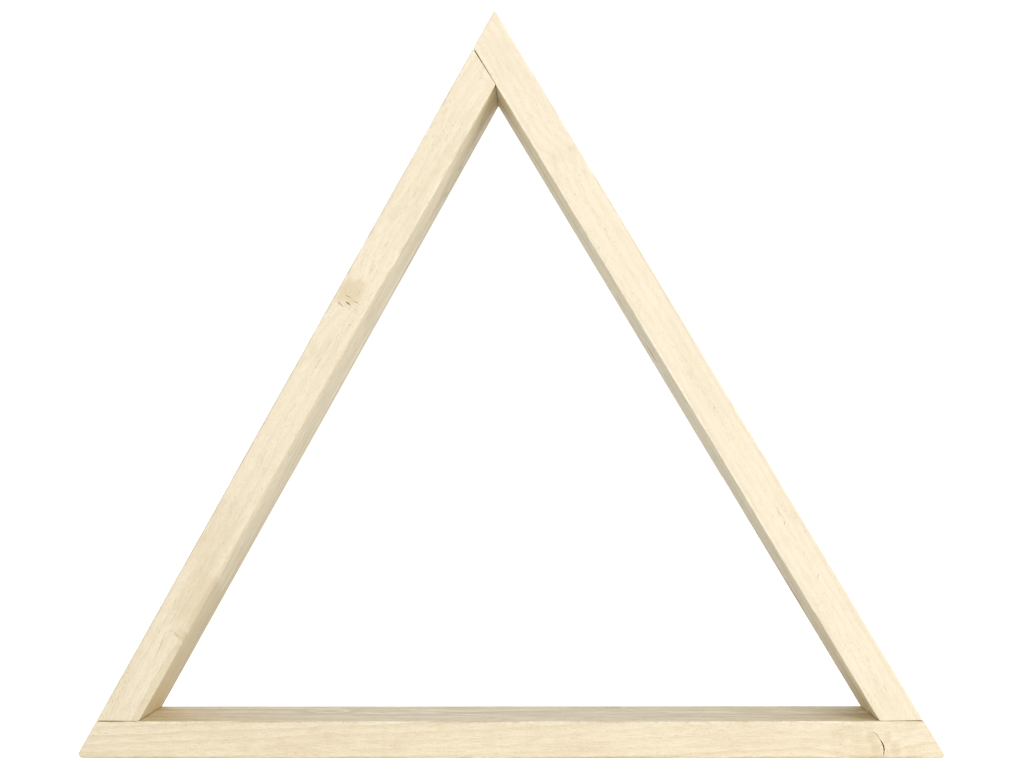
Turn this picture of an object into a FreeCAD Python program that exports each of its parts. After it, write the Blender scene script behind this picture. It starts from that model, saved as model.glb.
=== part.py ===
# Free-standing triangle rack: three planed softwood boards, butt-jointed at the corners,
# with two countersunk wood screws through each joint.
#
# The origin is the middle of the underside. +X runs to the right along the base,
# +Y from the front to the back, and +Z up. Lengths are in millimetres, angles in degrees.
import FreeCAD, Part
import math
import os

# The triangle
base_length = 420.0
left_slope = 60.72
right_slope = 59.05

# The boards
board_depth = 94.0
base_thickness = 18.0
left_thickness = 18.0
right_thickness = 18.4
edge_easing = 0.6
tip_cut = 1.0

# The screws: 4 x 35 countersunk, two to a joint, spaced from front to back
screw_length = 35.0
screw_spacing = 56.0
head_diameter = 8.0
head_rim = 0.4
head_sink = 0.5
shank_diameter = 3.0
thread_diameter = 4.0
core_diameter = 2.6
thread_pitch = 1.8
thread_turns = 10
point_length = 3.2
recess_diameter = 4.6
recess_depth = 2.2
recess_blade = 1.0

# The holes that the screws go through and into
clearance_diameter = 4.5
head_clearance = 0.1

x_axis = FreeCAD.Vector(1, 0, 0)
y_axis = FreeCAD.Vector(0, 1, 0)
z_axis = FreeCAD.Vector(0, 0, 1)


def side_point(x, z):
    """A point in the middle plane of the rack, half way from front to back."""
    return FreeCAD.Vector(x, 0, z)


def meet(start_a, along_a, start_b, along_b):
    """Where two lines of the middle plane cross."""
    gap = start_b - start_a
    cross = along_a.x * along_b.z - along_a.z * along_b.x
    reach = (gap.x * along_b.z - gap.z * along_b.x) / cross
    return start_a + along_a * reach


def towards(start, end, distance):
    """The point that lies a distance from start on the way to end."""
    return start + (end - start).normalize() * distance


def blunted(before, tip, after):
    """The two points that a sharp tip becomes when its knife edge is sanded off."""
    return [towards(tip, before, tip_cut), towards(tip, after, tip_cut)]


def runs_along(edge, direction):
    """True for an edge that lies parallel to a direction."""
    span = edge.Vertexes[-1].Point - edge.Vertexes[0].Point
    return abs(span.normalize().dot(direction)) > 0.9999


def plank(corners, grain):
    """A board with this outline seen from the front, its long edges eased."""
    front = [corner - y_axis * board_depth / 2 for corner in corners]
    block = Part.Face(Part.makePolygon(front + front[:1])).extrude(y_axis * board_depth)
    long_edges = [edge for edge in block.Edges if runs_along(edge, grain)]
    return block.makeFillet(edge_easing, long_edges)


def turned(profile):
    """A solid of revolution about Z from (radius, height) pairs."""
    points = [FreeCAD.Vector(radius, 0, height) for radius, height in profile]
    outline = Part.Face(Part.makePolygon(points + points[:1]))
    return outline.revolve(FreeCAD.Vector(0, 0, 0), z_axis, 360)


def make_screw():
    """A screw along +Z, the flat of its head at the origin and its point at the far end."""
    head_radius = head_diameter / 2
    shank_radius = shank_diameter / 2
    thread_radius = thread_diameter / 2
    core_radius = core_diameter / 2
    neck = head_rim + head_radius - shank_radius
    point_start = screw_length - point_length
    thread_start = point_start - thread_turns * thread_pitch

    profile = [(0, 0), (head_radius, 0), (head_radius, head_rim), (shank_radius, neck)]
    profile.append((shank_radius, thread_start))
    for turn in range(thread_turns):
        height = thread_start + turn * thread_pitch
        profile.append((core_radius, height + 0.25 * thread_pitch))
        profile.append((thread_radius, height + 0.75 * thread_pitch))
    profile.append((core_radius, point_start))
    profile.append((0, screw_length))
    screw = turned(profile)

    taper = Part.makeCone(recess_diameter / 2, recess_blade / 2, recess_depth)
    blade = Part.makeBox(
        recess_diameter, recess_blade, recess_depth,
        FreeCAD.Vector(-recess_diameter / 2, -recess_blade / 2, 0),
    )
    crossing = blade.copy()
    crossing.rotate(FreeCAD.Vector(0, 0, 0), z_axis, 90)
    recess = blade.fuse(crossing).common(taper)
    return screw.cut(recess)


def make_clearance_hole(thickness):
    """The countersunk hole through the board that a screw passes, from its face at the origin."""
    mouth_radius = head_diameter / 2 + head_clearance
    hole_radius = clearance_diameter / 2
    seat = head_sink + head_rim + head_clearance
    return turned([
        (0, 0),
        (mouth_radius, 0),
        (mouth_radius, seat),
        (hole_radius, seat + mouth_radius - hole_radius),
        (hole_radius, thickness),
        (0, thickness),
    ])


def placed(shape, entry, into):
    """A copy of a shape made along +Z, moved to an entry point and turned to run into the wood."""
    copy = shape.copy()
    copy.Placement = FreeCAD.Placement(entry, FreeCAD.Rotation(z_axis, into))
    return copy


def screw_entry(joint_point, joint_along, into, inner_corner, outer_point, outer_along, passed):
    """Where a screw enters so that its whole length stays centred in the slanting board.

    The board slants away from the screw, so the screw has the most wood round it half way
    between the board's inner corner at the joint and its outer face at the screw's point.
    """
    bite = head_sink + screw_length - passed
    outer_at_point = meet(outer_point, outer_along, joint_point + into * bite, joint_along)
    centre = (inner_corner + outer_at_point - into * bite) * 0.5
    return centre - into * passed


# Directions: up each side along the grain, and from each outer face into the triangle
left_radians = math.radians(left_slope)
right_radians = math.radians(right_slope)
left_up = side_point(math.cos(left_radians), math.sin(left_radians))
right_up = side_point(-math.cos(right_radians), math.sin(right_radians))
left_inward = side_point(math.sin(left_radians), -math.cos(left_radians))
right_inward = side_point(-math.sin(right_radians), -math.cos(right_radians))

# The corners, seen from the front
left_tip = side_point(-base_length / 2, 0)
right_tip = side_point(base_length / 2, 0)
shelf = side_point(0, base_thickness)
left_inside = left_tip + left_inward * left_thickness
right_inside = right_tip + right_inward * right_thickness

apex = meet(left_tip, left_up, right_tip, right_up)
left_foot_outer = meet(left_tip, left_up, shelf, x_axis)
left_foot_inner = meet(left_inside, left_up, shelf, x_axis)
right_foot_outer = meet(right_tip, right_up, shelf, x_axis)
right_foot_inner = meet(right_inside, right_up, shelf, x_axis)
top_joint_outer = meet(left_tip, left_up, right_inside, right_up)
top_joint_inner = meet(left_inside, left_up, right_inside, right_up)

base_corners = [left_foot_outer]
base_corners += blunted(left_foot_outer, left_tip, right_tip)
base_corners += blunted(left_tip, right_tip, right_foot_outer)
base_corners += [right_foot_outer]
left_corners = [left_foot_outer, top_joint_outer, top_joint_inner, left_foot_inner]
right_corners = [right_foot_inner, top_joint_outer]
right_corners += blunted(top_joint_outer, apex, right_foot_outer)
right_corners += [right_foot_outer]

nodes = {
    "base_board": plank(base_corners, x_axis),
    "left_board": plank(left_corners, left_up),
    "right_board": plank(right_corners, right_up),
}

# Each joint: its screws' name, the board they pass, that board's thickness, the board they
# hold, the way they go, and where they enter
joints = [
    (
        "left_foot_screw", "base_board", base_thickness, "left_board", z_axis,
        screw_entry(shelf, x_axis, z_axis, left_foot_inner, left_tip, left_up, base_thickness),
    ),
    (
        "right_foot_screw", "base_board", base_thickness, "right_board", z_axis,
        screw_entry(shelf, x_axis, z_axis, right_foot_inner, right_tip, right_up, base_thickness),
    ),
    (
        "apex_screw", "right_board", right_thickness, "left_board", right_inward,
        screw_entry(right_inside, right_up, right_inward, top_joint_inner, left_tip, left_up,
                    right_thickness),
    ),
]

screw = make_screw()
for screw_name, passed_board, passed_thickness, held_board, into, middle_entry in joints:
    clearance_hole = make_clearance_hole(passed_thickness)
    pilot_hole = Part.makeCylinder(core_diameter / 2, head_sink + screw_length)
    for place, y in (("front", -screw_spacing / 2), ("back", screw_spacing / 2)):
        entry = middle_entry + y_axis * y
        nodes[passed_board] = nodes[passed_board].cut(placed(clearance_hole, entry, into))
        nodes[held_board] = nodes[held_board].cut(placed(pilot_hole, entry, into))
        nodes[screw_name + "_" + place] = placed(screw, entry + into * head_sink, into)

os.makedirs("parts", exist_ok=True)
for name, shape in nodes.items():
    solid = shape.Solids[0]
    box = solid.BoundBox
    print(name, "solids", len(shape.Solids), "valid", solid.isValid(), "mm3", round(solid.Volume, 1),
          "x", round(box.XMin, 2), round(box.XMax, 2), "y", round(box.YMin, 2), round(box.YMax, 2),
          "z", round(box.ZMin, 2), round(box.ZMax, 2))
    solid.exportStep("parts/" + name + ".step")
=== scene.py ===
# The looks of the triangle rack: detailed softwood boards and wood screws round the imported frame.
import math

import bpy
import bmesh
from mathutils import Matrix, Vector, noise


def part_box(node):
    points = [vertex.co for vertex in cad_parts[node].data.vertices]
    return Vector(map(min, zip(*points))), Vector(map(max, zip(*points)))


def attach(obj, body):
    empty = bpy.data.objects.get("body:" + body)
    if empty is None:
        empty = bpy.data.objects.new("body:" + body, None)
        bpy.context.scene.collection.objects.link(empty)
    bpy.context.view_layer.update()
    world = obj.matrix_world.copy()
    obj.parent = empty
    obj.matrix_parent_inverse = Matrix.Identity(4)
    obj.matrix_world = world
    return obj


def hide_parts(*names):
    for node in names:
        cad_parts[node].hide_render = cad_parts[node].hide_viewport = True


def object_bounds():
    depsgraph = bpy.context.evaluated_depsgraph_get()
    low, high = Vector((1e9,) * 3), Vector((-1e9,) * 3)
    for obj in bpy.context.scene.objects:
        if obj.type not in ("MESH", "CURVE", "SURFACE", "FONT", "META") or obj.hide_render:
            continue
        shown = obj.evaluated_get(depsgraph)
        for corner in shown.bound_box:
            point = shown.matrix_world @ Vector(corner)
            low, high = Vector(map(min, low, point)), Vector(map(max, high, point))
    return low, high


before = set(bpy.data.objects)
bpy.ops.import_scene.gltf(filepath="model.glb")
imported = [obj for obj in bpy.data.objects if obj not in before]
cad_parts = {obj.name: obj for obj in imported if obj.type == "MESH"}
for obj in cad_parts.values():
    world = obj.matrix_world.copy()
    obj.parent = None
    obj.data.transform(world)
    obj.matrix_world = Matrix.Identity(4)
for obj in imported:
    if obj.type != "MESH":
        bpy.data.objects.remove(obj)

cad_low, cad_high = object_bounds()

MM = 0.001

# The rack's driving dimensions, as the frame was built from them
BASE_LENGTH = 420.0 * MM
LEFT_SLOPE = math.radians(60.72)
RIGHT_SLOPE = math.radians(59.05)
LEFT_THICKNESS = 18.0 * MM
RIGHT_THICKNESS = 18.4 * MM

# How finely a board's surface is divided, with two closer rows near each end
STEP_ALONG = 2.5 * MM
STEP_THICKNESS = 0.6 * MM
STEP_DEPTH = 2.4 * MM
ARC_STEPS = 4
END_ROWS = (0.35 * MM, 1.2 * MM)

# How far a board's planed faces, worn edges and sawn ends lie inside its sharp outline, and the
# sizes of the wander along u, v and w
FACE_WANDER = 0.07 * MM
FACE_WANDER_SIZES = (60.0 * MM, 14.0 * MM, 30.0 * MM)
EDGE_WANDER = 0.22 * MM
EDGE_WANDER_SIZES = (11.0 * MM, 10.0 * MM, 40.0 * MM)
END_EASING = 0.25 * MM

# Edge radii: outer front, inner front, inner back and outer back
BASE_EDGES = (1.5 * MM, 0.35 * MM, 0.5 * MM, 1.2 * MM)
LEFT_EDGES = (0.6 * MM, 0.45 * MM, 0.6 * MM, 0.6 * MM)
RIGHT_EDGES = (0.6 * MM, 0.40 * MM, 0.6 * MM, 0.6 * MM)

# The radii of the sharp tips, worn round
BASE_LEFT_TIP = 2.4 * MM
BASE_RIGHT_TIP = 1.5 * MM
APEX_TIP = 0.9 * MM

# The open saw-cut joints: the gap along the butted board at its outer face and at its inner face,
# negative where it shortens the board's upper end
LEFT_FOOT_GAPS = (0.40 * MM, 0.12 * MM)
RIGHT_FOOT_GAPS = (0.40 * MM, 0.10 * MM)
APEX_GAPS = (-0.52 * MM, -0.08 * MM)

# Splits and torn marks: the steps along one, how far its cutter stands out of the wood, how
# bluntly it tapers, and how ragged its sides are
MARK_STEPS = 8
MARK_LIFT = 0.4 * MM
MARK_TAPER = 0.6
MARK_RAGGED = 0.35
MARK_RAGGED_SIZE = 0.4 * MM

# A board's materials by slot, after the planed faces in slot 0
SAWN_SLOT = 1
TORN_SLOT = 2

# The screws
SCREW_LENGTH = 35.0 * MM
HEAD_RADIUS = 4.0 * MM
HEAD_RIM = 0.4 * MM
HEAD_SINK = 0.5 * MM
HEAD_CLEARANCE = 0.1 * MM
SHANK_RADIUS = 1.5 * MM
CREST_RADIUS = 2.0 * MM
CORE_RADIUS = 1.3 * MM
HOLE_RADIUS = 2.25 * MM
THREAD_START = 13.8 * MM
THREAD_PITCH = 1.8 * MM
POINT_LENGTH = 5.0 * MM
RECESS_RADIUS = 2.3 * MM
RECESS_DEPTH = 2.2 * MM
RECESS_WING = 0.45 * MM
RECESS_OVER = 0.2 * MM
RECESS_FLOOR_REACH = 0.35
RECESS_FLOOR_WING = 0.6
CREST_SHARE = 0.3
POINT_CURVE = 0.7
HOLE_OVERLAP = 0.5 * MM
SCREW_SEGMENTS = 32
ROWS_PER_PITCH = 12

# The stage, its lights and the camera's tone
STAGE_RADIUS = 30.0
FLOOR_GLOW = 2.3
FLOOR_GLOW_HEIGHT = 0.02 * MM
BACKDROP_GLOW = 1.9
FLOOR_LIGHT = (0.62, 0.8, 1.0)
FLOOR_STRENGTH = 0.2
FLOOR_PALE = (0.9, 0.9, 0.9)
FLOOR_ROUGHNESS = 0.9
FLOOR_SEGMENTS = 64
DOME_SEGMENTS = 48
DOME_RINGS = 24
HIGHLIGHT_ROLL = 0.5
SHADOW_POWER = 0.7  # below 1 deepens the shadows
TONE_STEPS = 12
KEY_COLOUR = (1.0, 0.89, 0.80)
SKY_COLOUR = (0.925, 0.96, 0.955)
SKY_STRENGTH = 0.95

# Each soft light: its name, the way it shines, its distance, its width and its power
LIGHTS = (
    ("key_high", (-0.22, 1.0, -0.48), 2.3, 0.2, 16.0),
    ("key_side", (-0.51, 1.0, 0.0), 2.3, 0.2, 19.0),
    ("side_fill", (-0.9, 0.7, 0.03), 1.14, 0.12, 3.4),
)

CAMERA_LENS = 107.92
CAMERA_PLACE = (0.0177, -1.529, 0.142)
CAMERA_TURN = (91.487, 0.073, 0.645)
CAMERA_CLIP = (0.05, 100.0)

FRONT = Vector((0, -1, 0))
BACK = Vector((0, 1, 0))
UP = Vector((0, 0, 1))


def in_plane(x, z):
    """A vector of the plane half way from front to back."""
    return Vector((x, 0, z))


def new_object(name, bm, materials):
    """A mesh object from a bmesh, with its normals facing out."""
    bmesh.ops.recalc_face_normals(bm, faces=bm.faces)
    mesh = bpy.data.meshes.new(name)
    bm.to_mesh(mesh)
    bm.free()
    for material in materials:
        mesh.materials.append(material)
    made = bpy.data.objects.new(name, mesh)
    bpy.context.scene.collection.objects.link(made)
    return made


def cut_away(target, cutters):
    """Cuts each closed cutter out of the target's mesh, and removes the cutters."""
    for cutter in cutters:
        modifier = target.modifiers.new("cut", "BOOLEAN")
        modifier.operation = "DIFFERENCE"
        modifier.solver = "EXACT"
        modifier.object = cutter
    bpy.context.view_layer.update()
    evaluated = target.evaluated_get(bpy.context.evaluated_depsgraph_get())
    cut_mesh = bpy.data.meshes.new_from_object(evaluated)
    target.modifiers.clear()
    old_mesh = target.data
    target.data = cut_mesh
    cut_mesh.name = target.name
    bpy.data.meshes.remove(old_mesh)
    for cutter in cutters:
        bpy.data.objects.remove(cutter)


# ---------------------------------------------------------------- boards


class Board:
    """A board's own directions: u along the grain, v in from its outer face, w towards the back."""

    def __init__(self, node, corner, along, inward, thickness):
        self.node = node
        self.corner = corner
        self.along = along
        self.inward = inward
        self.thickness = thickness

    def place(self, u, v, w):
        return self.corner + self.along * u + self.inward * v + BACK * w

    def cut(self, point, normal, gap_outer=0.0, gap_inner=0.0):
        """How far along the board a plane crosses it, at its outer face, and the gain per metre inward.

        The gaps move the cut along the board, at its outer and at its inner face.
        """
        slope = self.along.dot(normal)
        reach = (point - self.corner).dot(normal) / slope
        gain = -self.inward.dot(normal) / slope
        return reach + gap_outer, gain + (gap_inner - gap_outer) / self.thickness


def section_ring(thickness, depth, radii):
    """Points (v, w) round a board's section with their outward directions, in order.

    The radii are those of the outer front, inner front, inner back and outer back edges.
    """
    half = depth / 2
    corners = [
        (0, -half, 1, 1),
        (thickness, -half, -1, 1),
        (thickness, half, -1, -1),
        (0, half, 1, -1),
    ]
    arcs = []
    for index, ((v, w, side_v, side_w), radius) in enumerate(zip(corners, radii)):
        arc = []
        for step in range(ARC_STEPS + 1):
            angle = math.radians(180 + 90 * index + 90 * step / ARC_STEPS)
            out_v, out_w = math.cos(angle), math.sin(angle)
            arc.append((v + (side_v + out_v) * radius, w + (side_w + out_w) * radius, out_v, out_w))
        arcs.append(arc)
    ring = []
    for index, arc in enumerate(arcs):
        ring += arc
        v0, w0, out_v, out_w = arc[-1]
        v1, w1 = arcs[(index + 1) % 4][0][:2]
        length = math.hypot(v1 - v0, w1 - w0)
        count = round(length / (STEP_THICKNESS if index % 2 == 0 else STEP_DEPTH))
        for step in range(1, count):
            share = step / count
            ring.append((v0 + (v1 - v0) * share, w0 + (w1 - w0) * share, out_v, out_w))
    return ring


def rounded_tip(reach, gain, radius):
    """The board's end as a function of v, with the sharp tip at its outer face rounded off.

    gain is the cotangent of the tip's angle, and the round meets both faces of the tip.
    """
    angle = math.atan2(1, abs(gain))
    tangent = radius / math.tan(angle / 2)
    round_ends = tangent * math.sin(angle)
    side = 1 if gain > 0 else -1

    def end(v):
        if v >= round_ends:
            return reach + gain * v
        return reach + side * (tangent - math.sqrt(max(0.0, radius**2 - (v - radius) ** 2)))

    return end


def straight_end(reach, gain):
    """The board's end as a function of v, where the saw cut is straight."""
    return lambda v: reach + gain * v


def make_board(board, start, end, radii, seed, materials):
    """A closed board mesh: planed faces that wander slightly, worn edges, and sawn ends."""
    low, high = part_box(board.node)
    depth = high.y - low.y
    ring = section_ring(board.thickness, depth, radii)
    length = end(0) - start(0)
    count = round(length / STEP_ALONG)
    end_shares = [row / length for row in END_ROWS]
    shares = [0.0] + end_shares
    shares += [index / count for index in range(1, count)]
    shares += [1 - share for share in reversed(end_shares)] + [1.0]
    face_u, face_v, face_w = FACE_WANDER_SIZES
    edge_u, edge_v, edge_w = EDGE_WANDER_SIZES

    bm = bmesh.new()
    rows = []
    for place, share in enumerate(shares):
        at_end = place in (0, len(shares) - 1)
        row = []
        for v, w, out_v, out_w in ring:
            u = start(v) + (end(v) - start(v)) * share
            wander = noise.noise(Vector((u / face_u, v / face_v, w / face_w + seed)))
            worn = noise.noise(Vector((u / edge_u + seed, v / edge_v, w / edge_w)))
            inset = FACE_WANDER * (0.5 + 0.5 * wander)
            inset += EDGE_WANDER * abs(2 * out_v * out_w) * (0.5 + 0.5 * worn)
            inset += END_EASING if at_end else 0.0
            v_in = v - out_v * inset
            w_in = w - out_w * inset
            u_in = start(v_in) + (end(v_in) - start(v_in)) * share
            row.append(bm.verts.new(board.place(u_in, v_in, w_in)))
        rows.append(row)
    for first, second in zip(rows, rows[1:]):
        for index in range(len(ring)):
            after = (index + 1) % len(ring)
            bm.faces.new((first[index], first[after], second[after], second[index]))
    for row in (rows[0], rows[-1]):
        bm.faces.new(row).material_index = SAWN_SLOT
    return new_object(board.node + "_wood", bm, materials)


def lathe(name, profile, at, into, segments, materials, material_index):
    """A closed solid of revolution from (radius, height) pairs, along a direction from a point."""
    turn = UP.rotation_difference(into).to_matrix()
    bm = bmesh.new()
    rings = []
    for radius, height in profile:
        if radius == 0:
            rings.append([bm.verts.new(at + turn @ Vector((0, 0, height)))])
            continue
        ring = []
        for step in range(segments):
            angle = 2 * math.pi * step / segments
            around = Vector((radius * math.cos(angle), radius * math.sin(angle), height))
            ring.append(bm.verts.new(at + turn @ around))
        rings.append(ring)
    for first, second in zip(rings, rings[1:]):
        for step in range(segments):
            after = (step + 1) % segments
            if len(first) == 1:
                corners = (first[0], second[step], second[after])
            elif len(second) == 1:
                corners = (first[step], second[0], first[after])
            else:
                corners = (first[step], second[step], second[after], first[after])
            bm.faces.new(corners).material_index = material_index
    return new_object(name, bm, materials)


def add_gouge(bm, points, width, depth, out):
    """Adds a cutter for one split or torn mark: a V groove that tapers to nothing at both its ends."""
    first = bm.verts.new(points[0] + out * MARK_LIFT)
    last = bm.verts.new(points[-1] + out * MARK_LIFT)
    rows = []
    for index in range(1, len(points) - 1):
        share = index / (len(points) - 1)
        swell = math.sin(math.pi * share) ** MARK_TAPER
        side = (points[index + 1] - points[index - 1]).normalized().cross(out)
        ragged = 1 + MARK_RAGGED * noise.noise(points[index] / MARK_RAGGED_SIZE)
        half = width * swell * ragged / 2
        half_above = half * (depth + MARK_LIFT) / depth
        rows.append([
            bm.verts.new(points[index] + out * MARK_LIFT + side * half_above),
            bm.verts.new(points[index] + out * MARK_LIFT - side * half_above),
            bm.verts.new(points[index] - out * depth * swell),
        ])
    for step in range(3):
        after = (step + 1) % 3
        bm.faces.new((first, rows[0][step], rows[0][after]))
        bm.faces.new((last, rows[-1][after], rows[-1][step]))
        for before, beyond in zip(rows, rows[1:]):
            bm.faces.new((before[step], beyond[step], beyond[after], before[after]))


def front_marks(board, marks, materials):
    """One cutter for the marks on a board's front face.

    A mark is (u, v) and (u, v) of its ends in millimetres, its bow to one side as a share of its
    length, and its width and depth in millimetres.
    """
    bm = bmesh.new()
    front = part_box(board.node)[0].y + FACE_WANDER / 2
    for (u0, v0), (u1, v1), bow, width, depth in marks:
        points = []
        for step in range(MARK_STEPS + 1):
            share = step / MARK_STEPS
            aside = bow * math.sin(math.pi * share)
            u = u0 + (u1 - u0) * share + aside * (v1 - v0)
            v = v0 + (v1 - v0) * share - aside * (u1 - u0)
            points.append(board.place(u * MM, v * MM, front))
        add_gouge(bm, points, width * MM, depth * MM, FRONT)
    for face in bm.faces:
        face.material_index = TORN_SLOT
    return new_object(board.node + "_marks", bm, materials)


# ---------------------------------------------------------------- materials


def srgb(red, green, blue):
    """A linear colour from everyday 0-255 values."""
    linear = []
    for value in (red, green, blue):
        share = value / 255
        linear.append(share / 12.92 if share <= 0.04045 else ((share + 0.055) / 1.055) ** 2.4)
    return (*linear, 1.0)


class Tree:
    """Adds shader nodes to a material, one call to a node, and gives back the socket they end in."""

    def __init__(self, material):
        material.use_nodes = True
        self.nodes = material.node_tree.nodes
        self.links = material.node_tree.links
        self.shader = self.nodes["Principled BSDF"]

    def node(self, kind, inputs, **settings):
        made = self.nodes.new(kind)
        for key, value in settings.items():
            setattr(made, key, value)
        for key, value in inputs.items():
            if isinstance(value, bpy.types.NodeSocket):
                self.links.new(value, made.inputs[key])
            else:
                made.inputs[key].default_value = value
        return made

    def math(self, operation, *values):
        return self.node("ShaderNodeMath", dict(enumerate(values)), operation=operation).outputs[0]

    def add(self, *values):
        total = values[0]
        for value in values[1:]:
            total = self.math("ADD", total, value)
        return total

    def times(self, *values):
        total = values[0]
        for value in values[1:]:
            total = self.math("MULTIPLY", total, value)
        return total

    def vector(self, operation, *values):
        made = self.node("ShaderNodeVectorMath", dict(enumerate(values)), operation=operation)
        return made.outputs["Value" if operation in ("DOT_PRODUCT", "LENGTH") else "Vector"]

    def noise(self, vector, stretch, detail=2.0, shift=0.0):
        """Smooth noise about 0.5; stretch is its size in millimetres along u, v and w."""
        scale = tuple(1 / size for size in stretch)
        inputs = {0: vector, 1: scale, 2: (shift, shift, shift)}
        scaled = self.node("ShaderNodeVectorMath", inputs, operation="MULTIPLY_ADD")
        moved = scaled.outputs["Vector"]
        made = self.node("ShaderNodeTexNoise", {"Vector": moved, "Scale": 1.0, "Detail": detail})
        return made.outputs[0]

    def rise(self, value, low, high):
        """0 below low, 1 above high, and smooth between."""
        inputs = {"Value": value, "From Min": low, "From Max": high}
        made = self.node("ShaderNodeMapRange", inputs, interpolation_type="SMOOTHSTEP")
        return made.outputs["Result"]

    def fall(self, value, low, high):
        """1 below low, 0 above high, and smooth between."""
        return self.math("SUBTRACT", 1.0, self.rise(value, low, high))

    def blend(self, share, first, second):
        made = self.node("ShaderNodeMix", {0: share, 6: first, 7: second}, data_type="RGBA")
        return made.outputs[2]

    def set(self, name, value):
        if isinstance(value, bpy.types.NodeSocket):
            self.links.new(value, self.shader.inputs[name])
        else:
            self.shader.inputs[name].default_value = value

    def dress(self, colour, roughness, height, relief):
        """Sets the surface's colour, its roughness and the bumps that a height makes."""
        bump = self.node("ShaderNodeBump", {"Strength": 1.0, "Distance": relief, "Height": height})
        self.set("Base Color", colour)
        self.set("Roughness", roughness)
        self.set("Normal", bump.outputs[0])

    def millimetres(self):
        """The surface point in the rack's own frame, in millimetres."""
        point = self.node("ShaderNodeTexCoord", {}).outputs["Object"]
        inputs = {0: point, "Scale": 1 / MM}
        return self.node("ShaderNodeVectorMath", inputs, operation="SCALE").outputs[0]


EARLYWOOD = srgb(237, 223, 198)
# Painted light: the lighter colour of the wide faces, for light that the stage doesn't give them
WIDE_FACE_PAINTED_LIGHT = srgb(253, 242, 218)
LATEWOOD = srgb(213, 199, 169)
BLOTCH = srgb(216, 202, 174)
FIBRE = srgb(186, 171, 142)
FLECK = srgb(132, 114, 84)
KNOT_HEART = srgb(196, 174, 136)
KNOT_BARK = srgb(120, 97, 68)
# The next two: the darker colour of an inner face's lower part, and the colour of soft dark spots
INNER_DARK = srgb(205, 191, 160)
DARK_SPOT = srgb(188, 172, 142)
SAWN = srgb(220, 204, 170)
SAWN_LATE = srgb(184, 158, 116)
SAWN_PORE = srgb(150, 126, 92)
TORN_DARK = srgb(112, 94, 70)
TORN_PALE = srgb(150, 130, 98)
ZINC_BRIGHT = srgb(206, 209, 212)
ZINC_DULL = srgb(176, 178, 178)
ZINC_GRIT = srgb(120, 118, 112)

# The sizes of the wood's noises, in millimetres along u, v and w
DRIFT_SIZE = (150.0, 26.0, 26.0)
TREMOR_SIZE = (22.0, 2.5, 2.5)
FIBRE_SIZE = (7.0, 0.5, 0.5)
FINE_SIZE = (1.3, 0.45, 0.45)
MOTTLE_SIZE = (34.0, 9.0, 13.0)
PATCH_SIZE = (9.0, 5.0, 5.0)
SPECK_SIZE = (1.6, 0.34, 0.34)
CLUSTER_SIZE = (26.0, 4.0, 6.0)
TOOTH_SIZE = (0.5, 40.0, 0.9)
PORE_SIZE = (0.22, 0.22, 0.22)
DASH_SIZE = (4.5, 1.2, 9.0)
STRETCH_SIZE = (38.0, 60.0, 60.0)
KNOT_WOBBLE_SIZE = (3.5, 3.5, 3.5)
KNOT_PATCH_SIZE = (2.6, 1.6, 1.6)

# The sizes of the torn fibre's and the zinc's noises, in millimetres along X, Y and Z
SHRED_SIZE = (0.5, 0.5, 0.2)
CLOUD_SIZE = (1.6, 1.6, 1.6)
GRIT_SIZE = (0.12, 0.12, 0.12)

# How far the growth rings wander, in millimetres
RING_DRIFT = 5.0
RING_TREMOR = 0.7

# Where latewood rises and falls within a ring, and the share of it that the palest ring has
LATE_RISE = (0.25, 0.92)
LATE_FALL = (0.93, 1.0)
PALEST_RING = 0.25

# How much a knot's outline wobbles, the share of its reach where it starts to fade, and the shares
# of its radius between which its dark wood ends
KNOT_WOBBLE = 0.5
KNOT_FADE = 0.55
KNOT_EDGE = (0.6, 1.15)

# A knot's bark line: its inner and outer half width in millimetres, and the noise that breaks it
BARK_WIDTH = (0.1, 0.6)
BARK_BREAKS = (0.35, 0.6)

# A knot's own small rings: how many to a millimetre, where they darken and how strongly
RINGLETS = 0.9
RINGLET_RISE = (0.3, 0.95)
RINGLET_SHOW = 0.4

# How the growth rings swell round a knot: by so many ring widths, falling off as a bell curve
SWELL_RINGS = 1.3
SWELL_NARROW = 0.45
SWELL_FALLOFF = 0.37

# The resin line: how it wanders and leans, its half width in millimetres, and where it is broken
RESIN_WANDER = 1.6
RESIN_LEAN = 0.004
RESIN_WIDTH = (0.12, 0.5)
DASH_RISE = (0.5, 0.66)
STRETCH_RISE = (0.42, 0.6)

# A board's wide faces begin this far round its edges, in millimetres; from there the painted light
# lightens them and their grain shows stronger
WIDE_FROM = (0.4, 1.2)

# Where the resin flecks' two noises rise, and where a dark spot fades out, in its half sizes
SPECK_RISE = (0.62, 0.72)
CLUSTER_RISE = (0.48, 0.62)
DARK_SPOT_FADE = (0.45, 1.15)
DARK_SPOT_RAGGED = 0.9

# How strongly each layer shows in the colour, from 0 to 1
# The first is painted light: how far the wide faces are lightened
WIDE_LIGHT_SHOW = 0.95
LATE_SHOW = 0.42
MOTTLE_SHOW = 0.32
PATCH_SHOW = 0.30
FIBRE_SHOW = 0.18
FINE_SHOW = 0.18
INNER_DARK_SHOW = 0.55
FLECK_SHOW = 0.5
DASH_SHOW = 0.22
PORE_SHOW = 0.35

# The darker lower part's upper edge: its slant across the board, and its raggedness and softness in
# millimetres. It starts this share of the thickness in from the outer face.
INNER_DARK_SLANT = 0.095
INNER_DARK_RAGGED = 6.0
INNER_DARK_SOFT = 4.0
INNER_DARK_FROM = 0.75

# The heights of the surface's bumps, and the gloss of the wood
PLANED_RELIEF = 0.07 * MM
SAWN_RELIEF = 0.18 * MM
TORN_RELIEF = 0.1 * MM
ZINC_RELIEF = 0.02 * MM
WOOD_SPECULAR = 0.42
SAWN_ROUGHNESS = 0.8
TORN_ROUGHNESS = 0.9


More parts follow.
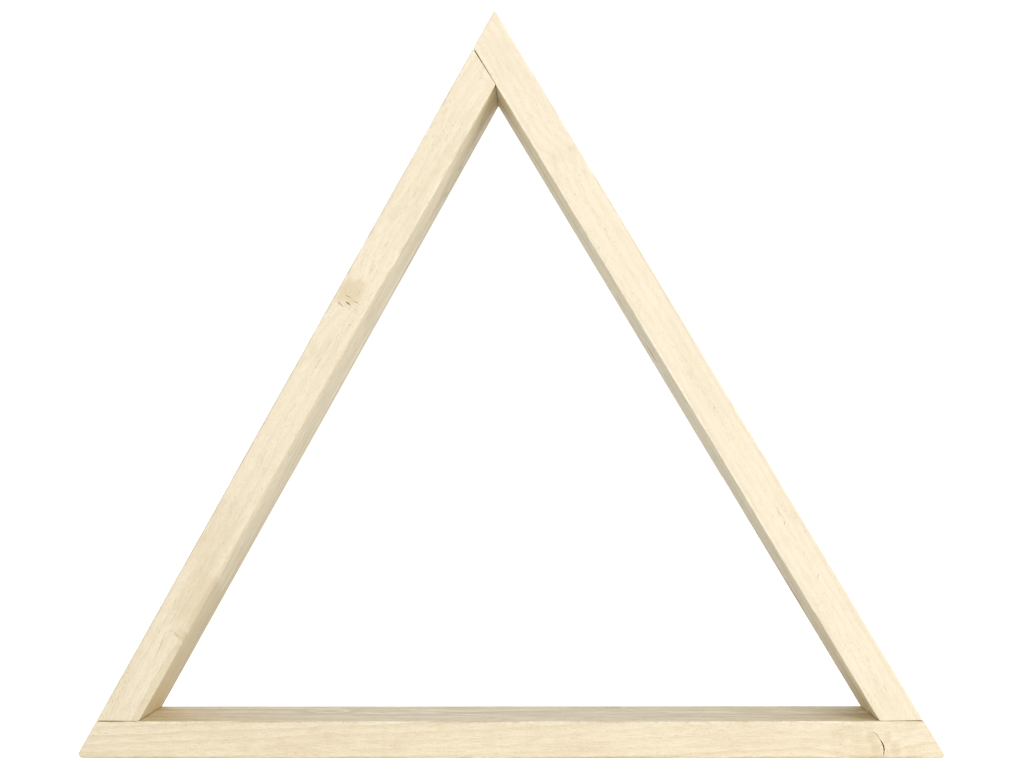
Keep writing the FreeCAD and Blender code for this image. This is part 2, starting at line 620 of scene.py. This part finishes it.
class Knot:
    """A branch in a board, in millimetres: a point of its axis, the axis, its radius and its reach.

    heart is how much darker its wood is, and rim how strong the bark line round it is, from 0 to 1.
    """

    def __init__(self, centre, axis, radius, reach, heart, rim):
        self.centre = centre
        self.axis = tuple(Vector(axis).normalized())
        self.radius = radius
        self.reach = reach
        self.heart = heart
        self.rim = rim


class Grain:
    """How a board was cut from its log, in millimetres of its own u, v and w directions.

    pith is (v, w) of the log's centre line at u = 0, and lean how far it shifts for each millimetre
    of u. ring_width and ring_shift set the growth rings. dark_spots are soft dark patches, each
    ((place, half sizes), strength). figure is how strongly the grain shows, and darkening how far the
    board's colour is darkened all over. inner_dark_to is how far up the inner face its colour is made
    darker, and streak the v of a broken resin line along the board. Either is left out at 0.
    """

    def __init__(self, seed, pith, lean, ring_width, ring_shift, knots, dark_spots, figure,
                 darkening=0.0, inner_dark_to=0.0, streak=0.0):
        self.seed = seed
        self.pith = pith
        self.lean = lean
        self.ring_width = ring_width
        self.ring_shift = ring_shift
        self.knots = knots
        self.dark_spots = dark_spots
        self.figure = figure
        self.darkening = darkening
        self.inner_dark_to = inner_dark_to
        self.streak = streak


def board_millimetres(tree, board):
    """Where a surface point lies in the board's own directions, in millimetres."""
    point = tree.node("ShaderNodeTexCoord", {}).outputs["Object"]
    offset = tree.vector("SUBTRACT", point, tuple(board.corner))
    along = [
        tree.vector("DOT_PRODUCT", offset, tuple(direction / MM))
        for direction in (board.along, board.inward, BACK)
    ]
    return tree.node("ShaderNodeCombineXYZ", dict(enumerate(along))).outputs[0], along


def add_knots(tree, local, grain):
    """The darker heart, the bark line and the swell of the rings that a board's knots make."""
    heart, bark, swell = 0.0, 0.0, 0.0
    for number, knot in enumerate(grain.knots):
        offset = tree.vector("SUBTRACT", local, knot.centre)
        reach = tree.math("ABSOLUTE", tree.vector("DOT_PRODUCT", offset, knot.axis))
        spread = tree.vector("LENGTH", tree.vector("CROSS_PRODUCT", offset, knot.axis))
        wobble = tree.noise(local, KNOT_WOBBLE_SIZE, 2.0, grain.seed + number)
        patchy = tree.noise(local, KNOT_PATCH_SIZE, 2.0, grain.seed + number + 40.0)
        wobble = tree.add(1 - KNOT_WOBBLE / 2, tree.times(wobble, KNOT_WOBBLE))
        spread = tree.times(spread, wobble)
        within = tree.fall(reach, knot.reach * KNOT_FADE, knot.reach)
        edge = [knot.radius * share for share in KNOT_EDGE]
        inside = tree.times(within, tree.fall(spread, *edge))
        rim = tree.math("ABSOLUTE", tree.add(spread, -knot.radius))
        unbroken = tree.rise(patchy, *BARK_BREAKS)
        rim = tree.times(within, tree.fall(rim, *BARK_WIDTH), unbroken, knot.rim)
        ringlet = tree.math("FRACT", tree.times(spread, RINGLETS))
        ringlet = tree.times(inside, tree.rise(ringlet, *RINGLET_RISE), RINGLET_SHOW * knot.heart)
        heart = tree.add(heart, tree.times(inside, knot.heart), ringlet)
        bark = tree.add(bark, rim)
        away = tree.math("POWER", tree.times(spread, SWELL_NARROW / knot.radius), 2.0)
        near = tree.math("POWER", SWELL_FALLOFF, away)
        swell = tree.add(swell, tree.times(near, within, SWELL_RINGS * grain.ring_width))
    return tree.math("MINIMUM", heart, 1.0), tree.math("MINIMUM", bark, 1.0), swell


def growth_rings(tree, local, along, grain, swell):
    """How much of each ring's dark latewood lies at a point, from 0 to 1, and the rings' slow drift."""
    u, v, w = along
    across = tree.add(v, -grain.pith[0], tree.times(u, -grain.lean[0]))
    deep = tree.add(w, -grain.pith[1], tree.times(u, -grain.lean[1]))
    offset = tree.node("ShaderNodeCombineXYZ", {0: 0.0, 1: across, 2: deep}).outputs[0]
    drift = tree.noise(local, DRIFT_SIZE, 2.0, grain.seed)
    tremor = tree.noise(local, TREMOR_SIZE, 2.0, grain.seed + 4)
    radius = tree.add(
        tree.vector("LENGTH", offset),
        tree.times(drift, RING_DRIFT),
        tree.times(tremor, RING_TREMOR),
        swell,
        grain.ring_shift,
    )
    phase = tree.times(radius, 1 / grain.ring_width)
    ring = tree.math("FRACT", phase)
    year = tree.math("FLOOR", phase)
    vigour = tree.node("ShaderNodeTexWhiteNoise", {"W": year}, noise_dimensions="1D").outputs[0]
    late = tree.times(tree.rise(ring, *LATE_RISE), tree.fall(ring, *LATE_FALL))
    vigour = tree.add(PALEST_RING, tree.times(vigour, 1 - PALEST_RING))
    return tree.times(late, vigour), drift


def sawn_end_looks(tree, local, grain, late):
    """The colour and the height of sawn end grain: rings, saw marks and pores."""
    tooth = tree.noise(local, TOOTH_SIZE, 2.0, grain.seed + 7)
    pore = tree.noise(local, PORE_SIZE, 1.0, grain.seed + 8)
    colour = tree.blend(late, SAWN, SAWN_LATE)
    colour = tree.blend(tree.times(pore, PORE_SHOW), colour, SAWN_PORE)
    height = tree.add(tree.times(tooth, 0.7), tree.times(pore, 0.5), tree.times(late, 0.4))
    return colour, height


def darken_inner(tree, colour, along, thickness, grain, mottle):
    """The colour made darker on the inner face, below a ragged edge that slants across it."""
    u, v, w = along
    edge = tree.add(u, tree.times(w, INNER_DARK_SLANT), tree.times(mottle, INNER_DARK_RAGGED))
    share = tree.fall(edge, grain.inner_dark_to, grain.inner_dark_to + INNER_DARK_SOFT)
    share = tree.times(share, tree.rise(v, thickness * INNER_DARK_FROM, thickness))
    return tree.blend(tree.times(share, INNER_DARK_SHOW), colour, INNER_DARK)


def resin_line(tree, local, along, grain, drift):
    """A broken dark line that follows the grain along a board's edge, from 0 to 1."""
    u, v, w = along
    line = tree.add(v, -grain.streak, tree.times(drift, RESIN_WANDER), tree.times(u, -RESIN_LEAN))
    aside = tree.math("ABSOLUTE", line)
    dash = tree.noise(local, DASH_SIZE, 1.0, grain.seed + 10)
    stretch = tree.noise(local, STRETCH_SIZE, 0.0, grain.seed + 11)
    return tree.times(
        tree.fall(aside, *RESIN_WIDTH),
        tree.rise(dash, *DASH_RISE),
        tree.rise(stretch, *STRETCH_RISE),
    )


def planed_looks(tree, local, along, thickness, grain, late, drift, heart, bark):
    """The colour, height and roughness of a planed face: painted light makes the wide faces lighter, and
    the grain shows stronger on them.
    """
    v = along[1]
    fibre = tree.noise(local, FIBRE_SIZE, 3.0, grain.seed + 1)
    fine = tree.noise(local, FINE_SIZE, 3.0, grain.seed + 2)
    mottle = tree.noise(local, MOTTLE_SIZE, 3.0, grain.seed + 3)
    patch = tree.noise(local, PATCH_SIZE, 3.0, grain.seed + 9)
    speck = tree.noise(local, SPECK_SIZE, 1.0, grain.seed + 5)
    cluster = tree.noise(local, CLUSTER_SIZE, 1.0, grain.seed + 6)
    fleck = tree.times(tree.rise(speck, *SPECK_RISE), tree.rise(cluster, *CLUSTER_RISE), FLECK_SHOW)

    near, far = WIDE_FROM
    wide = tree.add(tree.fall(v, near, far), tree.rise(v, thickness - far, thickness - near))
    figure = tree.times(tree.add(1.0, wide), grain.figure)
    # Painted light: the wide faces are lightened towards a paler colour
    colour = tree.blend(tree.times(wide, WIDE_LIGHT_SHOW), EARLYWOOD, WIDE_FACE_PAINTED_LIGHT)
    colour = tree.blend(tree.times(late, figure, LATE_SHOW), colour, LATEWOOD)
    # The whole board's colour is darkened by a given share
    colour = tree.blend(grain.darkening, colour, BLOTCH)
    for layer, low, high, show, tint in (
        (mottle, 0.40, 0.80, MOTTLE_SHOW, BLOTCH),
        (patch, 0.50, 0.78, PATCH_SHOW, BLOTCH),
        (fibre, 0.42, 0.72, FIBRE_SHOW, FIBRE),
        (fine, 0.45, 0.75, FINE_SHOW, FIBRE),
    ):
        colour = tree.blend(tree.times(tree.rise(layer, low, high), figure, show), colour, tint)
    # The inner face is made darker below a ragged, slanting edge
    if grain.inner_dark_to:
        colour = darken_inner(tree, colour, along, thickness, grain, mottle)
    if grain.streak:
        dashes = resin_line(tree, local, along, grain, drift)
        fleck = tree.add(fleck, tree.times(dashes, DASH_SHOW))
    # Soft dark spots at given places
    for (place, half), strength in grain.dark_spots:
        offset = tree.vector("DIVIDE", tree.vector("SUBTRACT", local, place), half)
        ragged = tree.times(patch, DARK_SPOT_RAGGED)
        spread = tree.add(tree.vector("LENGTH", offset), ragged, -DARK_SPOT_RAGGED / 2)
        share = tree.times(tree.fall(spread, *DARK_SPOT_FADE), strength)
        colour = tree.blend(share, colour, DARK_SPOT)
    colour = tree.blend(heart, colour, KNOT_HEART)
    colour = tree.blend(bark, colour, KNOT_BARK)
    colour = tree.blend(tree.math("MINIMUM", fleck, 1.0), colour, FLECK)
    height = tree.add(
        tree.times(late, 0.55),
        tree.times(fibre, 0.5),
        tree.times(fine, 0.25),
        tree.times(fleck, -0.8),
        tree.times(bark, -0.6),
    )
    roughness = tree.add(0.5, tree.times(fibre, 0.16), tree.times(late, -0.06))
    return colour, height, roughness


def make_wood(name, board, grain, sawn_end=False):
    """Planed softwood with growth rings, fibres, resin flecks and knots, or its sawn end grain."""
    material = bpy.data.materials.new(name)
    tree = Tree(material)
    local, along = board_millimetres(tree, board)
    heart, bark, swell = add_knots(tree, local, grain)
    late, drift = growth_rings(tree, local, along, grain, swell)
    if sawn_end:
        colour, height = sawn_end_looks(tree, local, grain, late)
        roughness = SAWN_ROUGHNESS
        relief = SAWN_RELIEF
    else:
        thickness = board.thickness / MM
        colour, height, roughness = planed_looks(
            tree, local, along, thickness, grain, late, drift, heart, bark
        )
        relief = PLANED_RELIEF
    tree.dress(colour, roughness, height, relief)
    tree.set("Specular IOR Level", WOOD_SPECULAR)
    return material


def make_torn():
    """The dark dry fibre inside splits, torn marks and the bark line of a knot."""
    material = bpy.data.materials.new("torn_fibre")
    tree = Tree(material)
    shred = tree.noise(tree.millimetres(), SHRED_SIZE, 3.0)
    colour = tree.blend(tree.rise(shred, 0.3, 0.7), TORN_DARK, TORN_PALE)
    tree.dress(colour, TORN_ROUGHNESS, shred, TORN_RELIEF)
    return material


def make_zinc():
    """Bright zinc plating with faint clouding and handling wear."""
    material = bpy.data.materials.new("zinc_plate")
    tree = Tree(material)
    place = tree.millimetres()
    cloud = tree.noise(place, CLOUD_SIZE, 3.0)
    grit = tree.noise(place, GRIT_SIZE, 2.0, 3.0)
    colour = tree.blend(tree.rise(cloud, 0.3, 0.75), ZINC_BRIGHT, ZINC_DULL)
    colour = tree.blend(tree.times(tree.rise(grit, 0.6, 0.8), 0.3), colour, ZINC_GRIT)
    roughness = tree.add(0.26, tree.times(cloud, 0.22))
    tree.dress(colour, roughness, grit, ZINC_RELIEF)
    tree.set("Metallic", 1.0)
    return material


# ---------------------------------------------------------------- screws


def screw_axis(node, into):
    """The middle of a packed screw's head face, found from where its node lies along its axis."""
    side = BACK.cross(into)
    corners = [vertex.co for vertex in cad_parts[node].data.vertices]
    head = min(corner.dot(into) for corner in corners)
    middle = []
    for direction in (side, BACK):
        spread = [corner.dot(direction) for corner in corners]
        middle.append((min(spread) + max(spread)) / 2)
    return into * head + side * middle[0] + BACK * middle[1]


def screw_radius(depth, angle):
    """The shank's radius at a depth below the head face, with one start of thread wound round it."""
    neck = HEAD_RIM + HEAD_RADIUS - SHANK_RADIUS
    if depth < neck:
        return HEAD_RADIUS - max(0.0, depth - HEAD_RIM)
    if depth < THREAD_START:
        return SHANK_RADIUS
    taper = min(1.0, (SCREW_LENGTH - depth) / POINT_LENGTH)
    run_in = min(1.0, (depth - THREAD_START) / THREAD_PITCH)
    turn = (depth - THREAD_START) / THREAD_PITCH - angle / (2 * math.pi)
    crest = max(0.0, 1 - abs(turn % 1.0 - 0.5) / CREST_SHARE)
    core = SHANK_RADIUS + (CORE_RADIUS - SHANK_RADIUS) * run_in
    return (core + (CREST_RADIUS - CORE_RADIUS) * crest * run_in) * taper**POINT_CURVE


def recess_wing(at, turn, crossed, material):
    """A cutter for one of the two crossing slots of a screw's recess, narrower at its floor."""
    wing = bmesh.new()
    corners = []
    for depth, reach, half in (
        (-RECESS_OVER, RECESS_RADIUS, RECESS_WING),
        (RECESS_DEPTH, RECESS_FLOOR_REACH * RECESS_RADIUS, RECESS_FLOOR_WING * RECESS_WING),
    ):
        for x, y in ((-reach, -half), (reach, -half), (reach, half), (-reach, half)):
            flat = Vector((-y, x, depth)) if crossed else Vector((x, y, depth))
            corners.append(wing.verts.new(at + turn @ flat))
    wing.faces.new(corners[:4])
    wing.faces.new(corners[4:])
    for step in range(4):
        after = (step + 1) % 4
        wing.faces.new((corners[step], corners[after], corners[4 + after], corners[4 + step]))
    return new_object("recess", wing, [material])


def make_screw(node, into, material):
    """A countersunk screw with a wound thread and a cross recess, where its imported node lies."""
    at = screw_axis(node, into)
    turn = UP.rotation_difference(into).to_matrix()
    thread_rows = round((SCREW_LENGTH - THREAD_START) / THREAD_PITCH * ROWS_PER_PITCH)
    neck = HEAD_RIM + HEAD_RADIUS - SHANK_RADIUS
    depths = [0.0, HEAD_RIM, neck, (neck + THREAD_START) / 2]
    depths += [
        THREAD_START + (SCREW_LENGTH - THREAD_START) * row / thread_rows for row in range(thread_rows)
    ]
    bm = bmesh.new()
    rows = []
    for depth in depths:
        row = []
        for step in range(SCREW_SEGMENTS):
            angle = 2 * math.pi * step / SCREW_SEGMENTS
            radius = screw_radius(depth, angle)
            around = Vector((radius * math.cos(angle), radius * math.sin(angle), depth))
            row.append(bm.verts.new(at + turn @ around))
        rows.append(row)
    for first, second in zip(rows, rows[1:]):
        for step in range(SCREW_SEGMENTS):
            after = (step + 1) % SCREW_SEGMENTS
            bm.faces.new((first[step], second[step], second[after], first[after]))
    point = bm.verts.new(at + into * SCREW_LENGTH)
    for step in range(SCREW_SEGMENTS):
        bm.faces.new((rows[-1][step], point, rows[-1][(step + 1) % SCREW_SEGMENTS]))
    bm.faces.new(rows[0])
    screw = new_object(node.replace("_screw", "_wood_screw"), bm, [material])
    cut_away(screw, [recess_wing(at, turn, crossed, material) for crossed in (False, True)])
    return screw


def screw_holes(node, into, thickness, materials):
    """Cutters for a screw's countersunk clearance hole, and for the pilot hole beyond it."""
    face = screw_axis(node, into) - into * HEAD_SINK
    mouth = HEAD_RADIUS + HEAD_CLEARANCE
    seat = HEAD_SINK + HEAD_RIM + HEAD_CLEARANCE
    end = HEAD_SINK + SCREW_LENGTH
    clearance = [
        (0, -HOLE_OVERLAP),
        (mouth, -HOLE_OVERLAP),
        (mouth, seat),
        (HOLE_RADIUS, seat + mouth - HOLE_RADIUS),
        (HOLE_RADIUS, thickness + HOLE_OVERLAP),
        (0, thickness + HOLE_OVERLAP),
    ]
    pilot = [
        (0, thickness - HOLE_OVERLAP),
        (CORE_RADIUS, thickness - HOLE_OVERLAP),
        (CORE_RADIUS, end),
        (0, end),
    ]
    return (
        lathe("clearance", clearance, face, into, SCREW_SEGMENTS, materials, SAWN_SLOT),
        lathe("pilot", pilot, face, into, SCREW_SEGMENTS, materials, SAWN_SLOT),
    )


# ---------------------------------------------------------------- the rack

left_up = in_plane(math.cos(LEFT_SLOPE), math.sin(LEFT_SLOPE))
right_up = in_plane(-math.cos(RIGHT_SLOPE), math.sin(RIGHT_SLOPE))
left_inward = in_plane(math.sin(LEFT_SLOPE), -math.cos(LEFT_SLOPE))
right_inward = in_plane(-math.sin(RIGHT_SLOPE), -math.cos(RIGHT_SLOPE))
left_tip = in_plane(-BASE_LENGTH / 2, 0)
right_tip = in_plane(BASE_LENGTH / 2, 0)
base_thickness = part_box("base_board")[1].z
shelf = in_plane(0, base_thickness)
right_inside = right_tip + right_inward * RIGHT_THICKNESS

base = Board("base_board", left_tip, Vector((1, 0, 0)), UP, base_thickness)
left = Board("left_board", left_tip, left_up, left_inward, LEFT_THICKNESS)
right = Board("right_board", right_tip, right_up, right_inward, RIGHT_THICKNESS)

# Each knot: a point of its axis, the axis, its radius, its reach, its heart and its rim.
# Each dark spot: its place and half sizes, and its strength.
base_grain = Grain(
    seed=11.0, pith=(-58.0, 14.0), lean=(0.012, -0.03), ring_width=3.1, ring_shift=0.4,
    figure=1.9, darkening=0.06,
    knots=[
        Knot((381.8, 4.0, -48.0), (0.05, 0.1, 1.0), 8.0, 14.0, 0.16, 0.10),
        Knot((118.0, 9.0, 12.0), (0.15, 1.0, 0.1), 6.5, 40.0, 0.45, 0.5),
        Knot((262.0, 9.0, 34.0), (-0.1, 1.0, 0.2), 3.6, 40.0, 0.5, 0.6),
    ],
    dark_spots=[
        (((383.2, 10.5, -47.0), (2.6, 4.0, 9.0)), 0.34),
        (((385.6, 5.0, -47.0), (2.4, 4.0, 9.0)), 0.34),
        (((391.6, 10.5, -47.0), (2.2, 3.6, 9.0)), 0.30),
        (((395.2, 5.0, -47.0), (3.0, 4.2, 9.0)), 0.34),
        (((372.0, 13.0, -47.0), (9.0, 3.0, 9.0)), 0.22),
    ],
)
left_grain = Grain(
    seed=23.0, pith=(62.0, 22.0), lean=(-0.010, 0.02), ring_width=3.4, ring_shift=1.1,
    figure=1.5, inner_dark_to=104.0, streak=9.0,
    knots=[
        Knot((260.5, 3.0, -50.0), (0.10, 1.0, 0.0), 7.5, 12.0, 0.26, 0.10),
        Knot((77.0, 17.0, -47.0), (-0.1, 1.0, 0.1), 2.0, 5.0, 0.35, 0.3),
        Knot((256.0, 19.0, -12.0), (0.1, 1.0, -0.2), 7.0, 14.0, 0.16, 0.15),
        Knot((338.0, 9.0, 26.0), (-0.1, 1.0, 0.1), 4.2, 40.0, 0.3, 0.4),
    ],
    dark_spots=[
        (((96.0, 13.0, -47.0), (17.0, 9.0, 12.0)), 0.28),
        (((128.0, 7.0, -47.0), (30.0, 9.0, 12.0)), 0.14),
        (((262.0, 6.0, -47.0), (9.0, 6.0, 6.0)), 0.25),
    ],
)
right_grain = Grain(
    seed=37.0, pith=(-66.0, -6.0), lean=(0.012, 0.03), ring_width=3.3, ring_shift=2.2,
    figure=1.15, streak=8.6,
    knots=[
        Knot((241.0, 18.0, 8.0), (0.2, 1.0, 0.2), 6.0, 12.0, 0.75, 0.6),
        Knot((271.0, 18.0, 12.0), (0.1, 1.0, 0.1), 4.0, 12.0, 0.6, 0.5),
        Knot((98.0, 18.0, 34.0), (0.1, 1.0, 0.1), 9.5, 14.0, 0.6, 0.45),
        Knot((345.0, 5.0, -50.0), (0.1, 1.0, 0.0), 4.5, 14.0, 0.16, 0.05),
        Knot((180.0, 4.0, -4.0), (0.1, 1.0, 0.1), 6.5, 16.0, 0.4, 0.45),
    ],
    dark_spots=[],
)

torn = make_torn()
wood = {}
for board, grain in ((base, base_grain), (left, left_grain), (right, right_grain)):
    wood[board.node] = [
        make_wood(board.node + "_planed", board, grain),
        make_wood(board.node + "_sawn_end", board, grain, sawn_end=True),
        torn,
    ]

base_piece = make_board(
    base,
    rounded_tip(*base.cut(left_tip, left_inward), BASE_LEFT_TIP),
    rounded_tip(*base.cut(right_tip, right_inward), BASE_RIGHT_TIP),
    BASE_EDGES, 1.0, wood["base_board"],
)
left_piece = make_board(
    left,
    straight_end(*left.cut(shelf, UP, *LEFT_FOOT_GAPS)),
    straight_end(*left.cut(right_inside, right_inward, *APEX_GAPS)),
    LEFT_EDGES, 2.0, wood["left_board"],
)
right_piece = make_board(
    right,
    straight_end(*right.cut(shelf, UP, *RIGHT_FOOT_GAPS)),
    rounded_tip(*right.cut(left_tip, left_inward), APEX_TIP),
    RIGHT_EDGES, 3.0, wood["right_board"],
)
pieces = {"base_board": base_piece, "left_board": left_piece, "right_board": right_piece}
cutters = {node: [] for node in pieces}

# Torn dashes round the left board's knot, the bark line that has split on the base, and small ticks.
# Each mark: (u, v) and (u, v) of its ends, its bow, its width and its depth.
left_marks = [
    ((256.2, 5.9), (255.6, 9.1), 0.05, 0.52, 0.45),
    ((258.2, 8.7), (258.6, 12.4), 0.0, 0.24, 0.20),
    ((254.2, 2.1), (253.3, 6.7), 0.04, 0.28, 0.20),
    ((258.9, 3.9), (259.1, 7.9), 0.0, 0.20, 0.15),
    ((255.0, 10.3), (255.1, 14.3), 0.0, 0.14, 0.10),
    ((77.0, 10.5), (75.4, 16.1), 0.0, 0.18, 0.12),
    ((74.2, 8.3), (62.6, 9.7), 0.02, 0.16, 0.10),
]
base_marks = [
    ((387.2, 9.9), (389.3, 0.8), -0.15, 0.66, 0.90),
    ((383.4, 13.2), (388.0, 8.8), -0.12, 0.30, 0.30),
    ((387.0, 0.9), (388.2, 0.1), 0.0, 0.55, 0.40),
]
right_marks = [
    ((137.9, 7.4), (136.2, 9.2), 0.0, 0.20, 0.14),
    ((108.4, 6.2), (106.0, 8.8), 0.0, 0.20, 0.14),
    ((202.4, 8.0), (201.6, 9.2), 0.0, 0.28, 0.20),
]

zinc = make_zinc()
screws = []
for joint, passed, held, thickness, into in (
    ("left_foot", "base_board", "left_board", base_thickness, UP),
    ("right_foot", "base_board", "right_board", base_thickness, UP),
    ("apex", "right_board", "left_board", RIGHT_THICKNESS, right_inward),
):
    for place in ("front", "back"):
        node = joint + "_screw_" + place
        clearance, pilot = screw_holes(node, into, thickness, wood[passed])
        cutters[passed].append(clearance)
        cutters[held].append(pilot)
        screw = make_screw(node, into, zinc)
        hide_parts(node)
        screws.append(screw)

for board, marks in ((base, base_marks), (left, left_marks), (right, right_marks)):
    cutters[board.node].append(front_marks(board, marks, wood[board.node]))
for node, piece in pieces.items():
    cut_away(piece, cutters[node])
    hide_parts(node)
for piece in [*pieces.values(), *screws]:
    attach(piece, "root")


# ---------------------------------------------------------------- floor, light and camera


def camera_only(stage):
    """Shows a piece of the stage to the camera, and lets no light come from it or stop at it."""
    stage.visible_diffuse = False
    stage.visible_glossy = False
    stage.visible_transmission = False
    stage.visible_volume_scatter = False
    stage.visible_shadow = False


def make_floor():
    """A large pale floor that gives a faint light, with a white glow over it for the camera only."""
    pale = bpy.data.materials.new("floor_pale")
    tree = Tree(pale)
    tree.set("Base Color", (*FLOOR_PALE, 1.0))
    tree.set("Roughness", FLOOR_ROUGHNESS)
    tree.set("Emission Color", (*FLOOR_LIGHT, 1.0))
    tree.set("Emission Strength", FLOOR_STRENGTH)
    glow = bpy.data.materials.new("floor_glow")
    tree = Tree(glow)
    clear = tree.node("ShaderNodeBsdfTransparent", {}).outputs[0]
    light = tree.node("ShaderNodeEmission", {"Strength": FLOOR_GLOW}).outputs[0]
    both = tree.node("ShaderNodeAddShader", {0: clear, 1: light}).outputs[0]
    tree.links.new(both, tree.nodes["Material Output"].inputs["Surface"])
    for name, height, material in (("floor", 0.0, pale), ("floor_glow", FLOOR_GLOW_HEIGHT, glow)):
        bm = bmesh.new()
        bmesh.ops.create_circle(bm, cap_ends=True, segments=FLOOR_SEGMENTS, radius=STAGE_RADIUS)
        bmesh.ops.translate(bm, verts=bm.verts, vec=UP * height)
        layer = new_object(name, bm, [material])
        if material == glow:
            camera_only(layer)


def make_backdrop():
    """A white dome round everything, seen by the camera and in reflections, which lights nothing else."""
    material = bpy.data.materials.new("backdrop_white")
    tree = Tree(material)
    tree.set("Base Color", (0.0, 0.0, 0.0, 1.0))
    tree.set("Emission Color", (1.0, 1.0, 1.0, 1.0))
    tree.set("Emission Strength", BACKDROP_GLOW)
    bm = bmesh.new()
    bmesh.ops.create_uvsphere(
        bm, u_segments=DOME_SEGMENTS, v_segments=DOME_RINGS, radius=STAGE_RADIUS
    )
    dome = new_object("backdrop", bm, [material])
    camera_only(dome)
    dome.visible_glossy = True


def set_tone():
    """A camera's tone curve: deeper shadows, and highlights that roll off before they turn white."""
    view = bpy.context.scene.view_settings
    view.view_transform = "Standard"
    view.use_curve_mapping = True
    white = (1 / (1 - HIGHLIGHT_ROLL)) ** SHADOW_POWER
    tone = view.curve_mapping
    tone.white_level = (white, white, white)
    curve = tone.curves[3]
    for step in range(1, TONE_STEPS):
        shown = (step / TONE_STEPS) ** 2
        light = (shown / (1 - HIGHLIGHT_ROLL * shown)) ** SHADOW_POWER
        curve.points.new(light / white, shown)
    tone.update()


def soft_light(name, direction, distance, size, power, colour, aim):
    """A round soft light that shines along a direction onto the aim point."""
    light = bpy.data.lights.new(name, "AREA")
    light.shape = "DISK"
    light.size = size
    light.energy = power
    light.color = colour
    lamp = bpy.data.objects.new(name, light)
    bpy.context.scene.collection.objects.link(lamp)
    travel = Vector(direction).normalized()
    lamp.location = aim - travel * distance
    lamp.rotation_mode = "QUATERNION"
    lamp.rotation_quaternion = travel.to_track_quat("-Z", "Y")


middle = (cad_low + cad_high) / 2
make_floor()
make_backdrop()
set_tone()
for name, direction, distance, size, power in LIGHTS:
    soft_light(name, direction, distance, size, power, KEY_COLOUR, middle)

world = bpy.data.worlds.new("studio")
world.use_nodes = True
sky = world.node_tree.nodes["Background"]
sky.inputs["Color"].default_value = (*SKY_COLOUR, 1.0)
sky.inputs["Strength"].default_value = SKY_STRENGTH
bpy.context.scene.world = world

camera = bpy.data.cameras.new("camera")
camera.lens = CAMERA_LENS
camera.clip_start, camera.clip_end = CAMERA_CLIP
viewpoint = bpy.data.objects.new("camera", camera)
viewpoint.location = CAMERA_PLACE
viewpoint.rotation_euler = [math.radians(angle) for angle in CAMERA_TURN]
bpy.context.scene.collection.objects.link(viewpoint)
bpy.context.scene.camera = viewpoint

bpy.context.view_layer.update()
